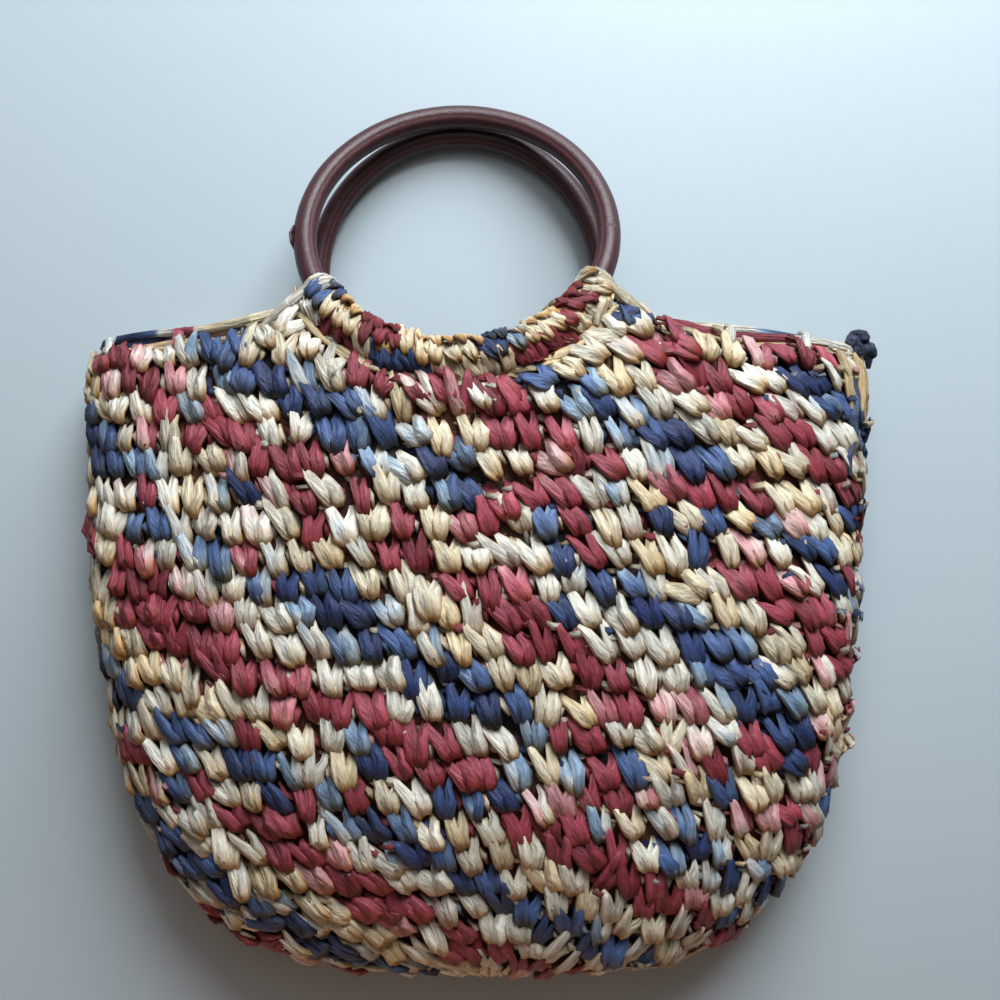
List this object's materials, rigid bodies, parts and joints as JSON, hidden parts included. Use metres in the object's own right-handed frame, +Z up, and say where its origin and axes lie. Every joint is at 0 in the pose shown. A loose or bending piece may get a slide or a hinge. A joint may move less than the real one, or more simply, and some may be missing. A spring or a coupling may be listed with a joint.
{
  "type": "tote bag",
  "caption": "Soft crocheted straw tote bag lying on its back, open along the top, with a pair of round leatherette-wrapped handles held in crocheted casings.",
  "frame": {"origin": "middle of the footprint, on the table that the bag lies on", "axes": "+Y from the bag's base to its handles, +X to the right as seen from the front, +Z up from the table, out of the front panel"},
  "size_m": [0.381, 0.4122, 0.0836],
  "materials": {
    "crocheted_straw": "crinkled paper raffia in cream, blue and raspberry",
    "edging_straw": "chain edging of the same yarn",
    "casing_straw": "the same yarn crocheted round the handle",
    "brown_leatherette": "smooth satin wrapping with a fine grain",
    "navy_yarn": "twisted yarn drawn into a knot",
    "wrapping_end": "thin loose end of the handle's wrapping"
  },
  "bodies": {
    "root": {"bag_body": "crocheted_straw", "rim_edging_left": "edging_straw", "rim_edging_right": "edging_straw", "handle_ring_front": "brown_leatherette", "handle_ring_back": "brown_leatherette", "casing_front": "casing_straw", "casing_back": "casing_straw", "corner_knot": "navy_yarn", "ring_wrap_tab": "wrapping_end"}
  },
  "joints": []
}
